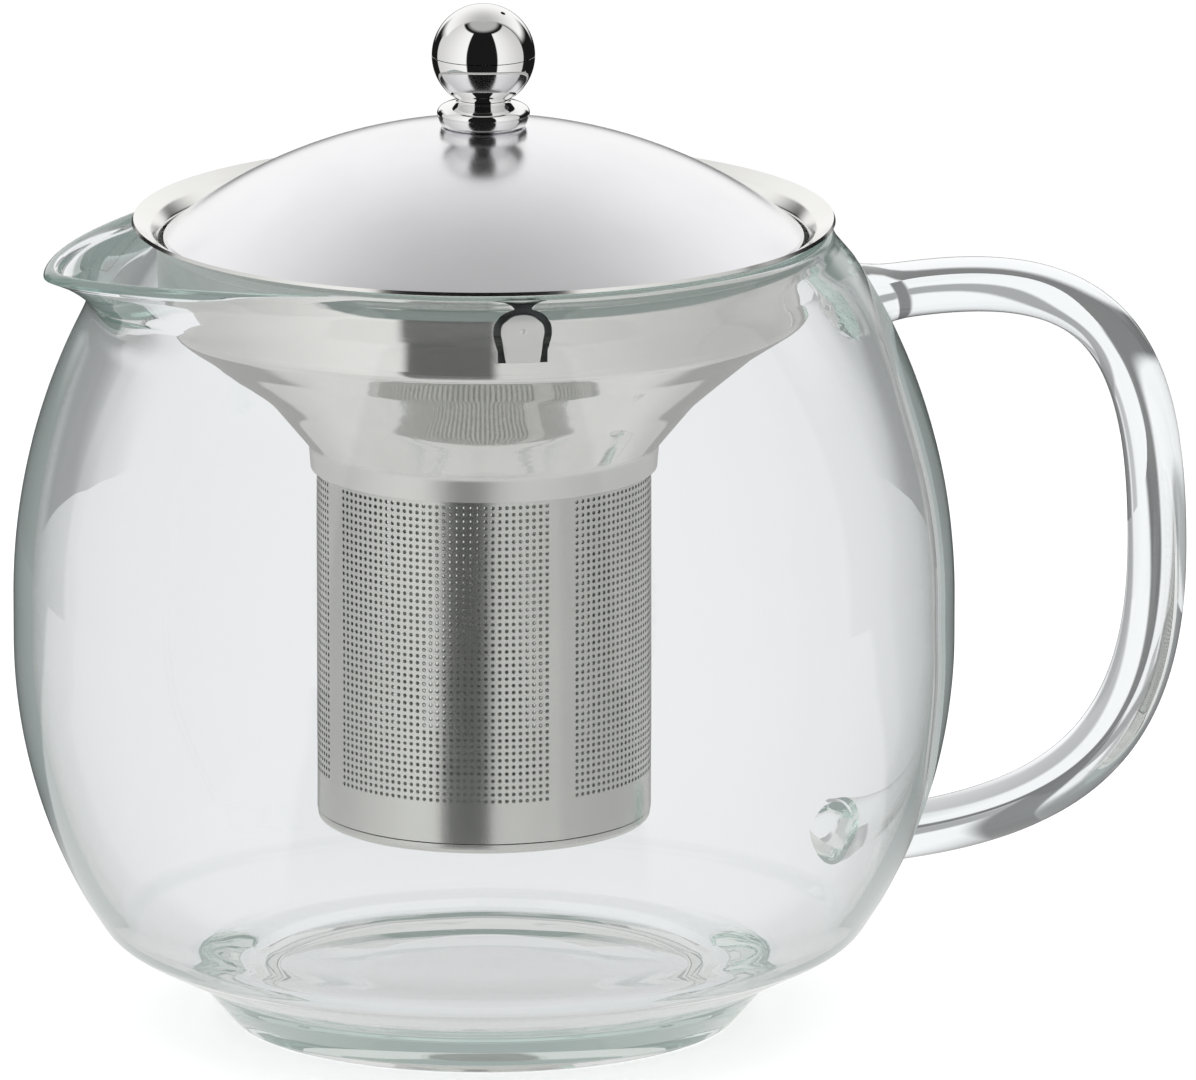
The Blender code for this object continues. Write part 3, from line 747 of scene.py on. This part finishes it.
def knob(surface):
    bore = KNOB_BORE
    seat_low = dome_height(SEAT_RING_RADIUS)
    seat_top = LID_APEX_HEIGHT + 0.3 * MM
    seat = [(bore, seat_low + 0.3 * MM, 0), (SEAT_RING_RADIUS, seat_low, 0.2 * MM)]
    seat += [(SEAT_RING_RADIUS, seat_top, 0.3 * MM), (bore, seat_top, 0)]
    knob_part("knob_seat", "knob_seat_ring", rounded(seat), surface)

    cradle = BALL_RADIUS + 0.05 * MM
    neck_rim = math.degrees(math.acos(KNOB_NECK_RADIUS / cradle))
    neck_bore = math.degrees(math.acos(bore / cradle))
    neck_top = BALL_HEIGHT - cradle * math.sin(math.radians(neck_rim))
    foot_low = seat_top + 0.03 * MM
    skirt = SEAT_RING_RADIUS + 0.12 * MM
    skirt_low = dome_height(skirt) + 0.06 * MM
    bulge = skirt_low + 2.05 * MM
    foot = [(bore, foot_low), (skirt, foot_low), (skirt, skirt_low)]
    under = geometry.interpolate_bezier(
        Vector((skirt + 0.15 * MM, 0, skirt_low)),
        Vector((KNOB_FOOT_RADIUS - 0.35 * MM, 0, skirt_low + 0.25 * MM)),
        Vector((KNOB_FOOT_RADIUS - 0.05 * MM, 0, bulge - 1.0 * MM)),
        Vector((KNOB_FOOT_RADIUS - 0.05 * MM, 0, bulge - 0.1 * MM)), 12)
    flare = geometry.interpolate_bezier(
        Vector((KNOB_FOOT_RADIUS, 0, bulge)),
        Vector((KNOB_FOOT_RADIUS, 0, bulge + 1.7 * MM)),
        Vector((KNOB_NECK_RADIUS + 0.3 * MM, 0, neck_top - 0.9 * MM)),
        Vector((KNOB_NECK_RADIUS, 0, neck_top)), 20)
    foot += [(p.x, p.z) for p in under + flare[:-1]]
    foot += arc((0.0, BALL_HEIGHT), cradle, -neck_rim, -neck_bore, 6)
    knob_part("knob_flared_foot", "knob_foot", foot, surface)

    seam = 0.4
    inner = BALL_RADIUS - BALL_SHELL
    centre = (0.0, BALL_HEIGHT)
    low_end = -math.degrees(math.acos(bore / BALL_RADIUS))
    inner_end = -math.degrees(math.acos(bore / inner))
    lower = arc(centre, BALL_RADIUS, -seam, low_end, 40) + arc(centre, inner, inner_end, -seam, 12)
    knob_part("knob_lower_half", "knob_ball_lower", lower, surface)
    shell, hollow = arc(centre, BALL_RADIUS, seam, 90, 44), arc(centre, inner, 90, seam, 12)
    shell[-1], hollow[0] = (0.0, shell[-1][1]), (0.0, hollow[0][1])
    half = turned("knob_upper_half", hollow + shell, surface, 96)
    vent = bmesh.new()
    bmesh.ops.create_cone(vent, cap_ends=True, segments=24, radius1=VENT_RADIUS, radius2=VENT_RADIUS,
                          depth=5 * MM)
    aim = (TO_RIGHT * 0.38 + TO_CAMERA * 0.28 + Vector((0, 0, 0.88))).normalized()
    turn = Vector((0, 0, 1)).rotation_difference(aim).to_matrix()
    bmesh.ops.rotate(vent, verts=vent.verts, cent=(0, 0, 0), matrix=turn)
    bmesh.ops.translate(vent, verts=vent.verts, vec=Vector((POT_X, 0, BALL_HEIGHT)) + aim * BALL_RADIUS)
    apply_boolean(half, from_bmesh("vent_tool", vent, surface), "DIFFERENCE")
    smooth(half.data)
    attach(half, "lid")
    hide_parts("knob_ball_upper")


def locating_ring(surface):
    low = 121.7
    top = dome_height(49.7 * MM, LID_SHEET) / MM - 0.5
    line = [(49.2, low, 0), (49.7, low + 0.6, 0.4), (49.7, top, 1.2), (46.5, top + 1.4, 0)]
    outer = dense(in_metres(line), 1.5 * MM)
    made = turned("locating_ring_sheet", thickened(outer, SHEET), surface, 160)
    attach(made, "lid")
    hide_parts("lid_locating_ring")


# ---------------------------------------------------------------- studio

def bearing(n, direction):
    """Degrees round from the camera, to the right, and degrees up."""
    ahead = n.dot(direction, TO_CAMERA)
    right = n.dot(direction, TO_RIGHT)
    azimuth = n.math("MULTIPLY", n.math("ARCTAN2", right, ahead), 180 / math.pi)
    elevation = n.math("MULTIPLY", n.math("ARCSINE", n.dot(direction, (0, 0, 1))), 180 / math.pi)
    return azimuth, elevation


def dark_lines(n, azimuth, table):
    return [n.math("MULTIPLY", n.band(azimuth, low, high, soft), dark) for low, high, soft, dark in table]


def studio(n, direction):
    """How bright the studio is in a direction, as seen by steel in the open, by steel inside the
    pot, through the walls of the pot, and through one thick piece of glass. Open steel sees two
    tall softboxes, a lit back and a dim ceiling, with darkness between them. Steel in the pot sees
    wider and softer lights. Glass sees white, crossed by dark flags or lines that draw its edges."""
    azimuth, elevation = bearing(n, direction)
    turn = n.math("ABSOLUTE", azimuth)

    box_height = n.ramp(elevation, 55.5, 58.5, 1.0, 0.0)
    left_box = n.math("MULTIPLY", n.band(azimuth, -124, -38, 1.5), box_height)
    left_box = n.math("MULTIPLY", left_box, n.ramp(azimuth, -120, -30, 0.75, 1.1))
    right_box = n.math("MULTIPLY", n.band(azimuth, 32, 101, 1.5), box_height)
    right_box = n.math("MULTIPLY", right_box, n.ramp(azimuth, 25, 100, 1.05, 0.7))
    raised = n.ramp(elevation, 10, 26)
    upper_back = n.math("MULTIPLY", n.ramp(turn, 98, 114), raised)
    lower_back = n.math("MULTIPLY", n.ramp(turn, 147, 156), n.math("SUBTRACT", 1.0, raised))
    lower_back = n.math("MULTIPLY", lower_back, n.ramp(elevation, -5, 4))
    back = n.math("MULTIPLY", n.math("ADD", upper_back, lower_back), n.ramp(elevation, 25, 84, 1.08, 0.55))
    ceiling = n.math("MULTIPLY", n.ramp(elevation, 60, 70), 0.5)
    open_steel = n.largest([left_box, right_box, back, ceiling])

    pot_left = n.math("MULTIPLY", n.ramp(azimuth, -120, -35, 0.62, 0.95), n.band(azimuth, -150, -27, 2.5))
    pot_right = n.math("MULTIPLY", n.ramp(azimuth, 5, 95, 0.80, 0.58), n.band(azimuth, 4, 150, 2.5))
    pot_sides = n.ramp(turn, 20, 60, 0.09, 0.35)
    pot_top = n.math("MULTIPLY", n.ramp(elevation, 12, 30), 0.75)
    pot_steel = n.largest([pot_left, pot_right, pot_sides, pot_top])

    phase = n.math("PINGPONG", n.math("ADD", azimuth, 0.75), 11.25)
    flag = n.math("MULTIPLY", n.ramp(phase, 4.5, 9.5), n.ramp(elevation, 40, 60, 1.0, 0.0))
    wall_sees = n.math("SUBTRACT", WALL_LEVEL, n.math("MULTIPLY", flag, FLAG_DEPTH))
    lines = dark_lines(n, azimuth, BAR_LINES)
    lines.append(n.math("MULTIPLY", n.band(turn, 88, 146, 3), 0.7))
    lines.append(n.math("MULTIPLY", n.band(elevation, -3, 5, 1.2), 0.6))
    lines.append(n.math("MULTIPLY", n.ramp(elevation, 16, 28), 0.7))
    bar_sees = n.math("SUBTRACT", 1.0, n.largest(lines))
    return open_steel, pot_steel, wall_sees, bar_sees


def seen_by_path(n, open_steel, pot_steel, wall_sees, bar_sees, trapped):
    """The studio's colour for light that reached the eye by way of steel or glass, and 1 for
    such light. Light trapped for a while inside one piece of glass sees a dimmer studio."""
    path = n.add("ShaderNodeLightPath")
    glossy, crossed = path.outputs["Glossy Depth"], path.outputs["Transmission Depth"]
    reflected = n.math("GREATER_THAN", glossy, 0.5)
    through = n.math("GREATER_THAN", crossed, 0.5)
    one_piece = n.math("LESS_THAN", n.math("ABSOLUTE", n.math("SUBTRACT", crossed, 2)), 0.5)
    inside_pot = n.math("GREATER_THAN", crossed, 2.5)
    steel = n.math("MAXIMUM", n.choose(inside_pot, pot_steel, open_steel), LEAST_STEEL)
    steel = n.tint(steel, STEEL_TINT)
    glass = n.tint(n.choose(one_piece, bar_sees, wall_sees), GLASS_TINT)
    held = n.math("MULTIPLY", one_piece, reflected)
    colour = n.mix_colour(reflected, glass, steel)
    colour = n.mix_colour(held, colour, n.tint(trapped, TRAPPED_TINT))
    return colour, n.math("MAXIMUM", reflected, through), path


def studio_world():
    """White all round for the eye and for the floor, and the studio for steel and glass."""
    world = bpy.data.worlds.new("studio")
    bpy.context.scene.world = world
    world.use_nodes = True
    world.cycles.sampling_method = "NONE"
    tree = world.node_tree
    tree.nodes.clear()
    n = Nodes(tree)
    direction = n.add("ShaderNodeTexCoord").outputs["Generated"]
    colour, indirect, path = seen_by_path(n, *studio(n, direction), WORLD_TRAPPED)
    white = n.mix_colour(path.outputs["Is Camera Ray"], WHITE, WHITE_TO_CAMERA)
    colour = n.mix_colour(indirect, white, colour)
    from_floor = n.math("GREATER_THAN", path.outputs["Diffuse Depth"], 0.5)
    colour = n.mix_colour(from_floor, colour, WHITE_TO_FLOOR)
    background = n.add("ShaderNodeBackground")
    n.feed(background.inputs["Color"], colour)
    output = n.add("ShaderNodeOutputWorld")
    tree.links.new(background.outputs["Background"], output.inputs["Surface"])


def floor():
    """A plain white floor. In steel and through glass it shows painted light instead: an emission that
    carries on the studio around it, with painted levels near the pot.
    """
    made, n, shader = new_material("floor_white")
    shader.inputs["Base Color"].default_value = (0.93, 0.93, 0.935, 1.0)
    shader.inputs["Roughness"].default_value = 0.6
    shader.inputs["Specular IOR Level"].default_value = 0.2
    position = n.add("ShaderNodeTexCoord").outputs["Object"]
    offset = n.vector("SUBTRACT", position, (POT_X, 0, 0.055))
    reach = n.add("ShaderNodeVectorMath", operation="LENGTH")
    n.feed(reach.inputs[0], n.vector("MULTIPLY", offset, (1, 1, 0)))
    # near the pot the floor's emission paints plain levels in place of the studio
    near = n.ramp(reach.outputs["Value"], *NEAR_POT, 1.0, 0.0)
    direction = n.vector("NORMALIZE", offset, (0, 0, 0))
    open_steel, pot_steel, _, _ = studio(n, direction)
    azimuth, _ = bearing(n, direction)
    bar_sees = n.math("SUBTRACT", 1.0, n.largest(dark_lines(n, azimuth, FLOOR_LINES)))
    open_steel = n.choose(near, NEAR_OPEN_STEEL, open_steel)
    pot_steel = n.choose(near, NEAR_POT_STEEL, pot_steel)
    bar_sees = n.choose(near, NEAR_BAR, bar_sees)
    colour, indirect, _ = seen_by_path(n, open_steel, pot_steel, WALL_LEVEL, bar_sees, FLOOR_TRAPPED)
    # painted light: the floor glows with the studio's colour on rays that came by way of steel or glass
    painted_glow = n.add("ShaderNodeEmission")
    n.feed(painted_glow.inputs["Color"], colour)
    blend = n.add("ShaderNodeMixShader")
    n.feed(blend.inputs["Fac"], indirect)
    n.feed(blend.inputs[1], shader.outputs["BSDF"])
    n.feed(blend.inputs[2], painted_glow.outputs["Emission"])
    n.feed(made.node_tree.nodes["Material Output"].inputs["Surface"], blend.outputs["Shader"])
    bm = bmesh.new()
    bmesh.ops.create_circle(bm, cap_ends=True, segments=96, radius=0.42)
    bmesh.ops.translate(bm, verts=bm.verts, vec=(0, 0, -0.0001))
    ground = from_bmesh("floor", bm, made)


def camera():
    data = bpy.data.cameras.new("camera")
    data.sensor_width = SENSOR_WIDTH
    data.lens = SENSOR_WIDTH * VIEW_DISTANCE / VIEW_WIDTH
    data.clip_end = 20.0
    made = bpy.data.objects.new("camera", data)
    bpy.context.scene.collection.objects.link(made)
    outward = TO_CAMERA * math.cos(VIEW_ELEVATION) + Vector((0, 0, math.sin(VIEW_ELEVATION)))
    target = Vector((POT_X, 0, 0)) + TO_RIGHT * TARGET_RIGHT + Vector((0, 0, TARGET_HEIGHT))
    made.location = target + outward * VIEW_DISTANCE
    made.rotation_euler = outward.to_track_quat("Z", "Y").to_euler()
    bpy.context.scene.camera = made


def main():
    scene = bpy.context.scene
    scene.view_settings.view_transform = "Standard"
    scene.cycles.max_bounces = 28
    scene.cycles.transmission_bounces = 20
    scene.cycles.glossy_bounces = 18
    scene.cycles.blur_glossy = 0.0
    clear_glass = glass_material()
    below_neck, on_flange = (0.0965, 0.0945, 0.3), (0.1285, 0.1295, 0.08)
    polished = steel_material("polished_steel", (0.80, 0.80, 0.785), 0.07, 0.02, 300.0, (1, 1, 6),
                              wave=0.10, softer=[below_neck, on_flange])
    knob_steel = steel_material("knob_steel", (0.86, 0.86, 0.86), 0.03, 0.01, 400.0, (1, 1, 1))
    satin = steel_material("satin_steel", (0.82, 0.82, 0.845), 0.2, 0.0, 900.0, (1, 1, 1))
    tongue = steel_material("tongue_steel", (0.84, 0.84, 0.83), 0.42, 0.02, 300.0, (1, 1, 6))
    strainer = steel_material("strainer_steel", (0.68, 0.685, 0.665), 0.21, 0.03, 300.0, (1, 1, 0.2))
    # painted shade: near-black steel for the locating ring, so the slots round the tongues show the dark
    # of the lid's inside
    painted_shade = steel_material("painted_shade_steel", (0.09, 0.10, 0.10), 0.45, 0.03, 300.0, (1, 1, 6))
    fastener = steel_material("fastener_steel", (0.6, 0.6, 0.6), 0.35, 0.05, 300.0, (1, 1, 1))

    camera()
    glass_jug(clear_glass)
    infuser_funnel(polished)
    for i, angle in enumerate(TONGUE_ANGLES):
        clip_tongue(i + 1, angle, tongue)
    strainer_wall(strainer)
    strainer_base(strainer)
    lid_dome(satin)
    # the ring takes the near-black painted-shade steel, which darkens the slots round the tongues
    locating_ring(painted_shade)
    knob(knob_steel)
    for name in ("knob_stud", "knob_washer", "knob_nut"):
        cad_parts[name].data.materials.clear()
        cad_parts[name].data.materials.append(fastener)
    studio_world()
    floor()


main()
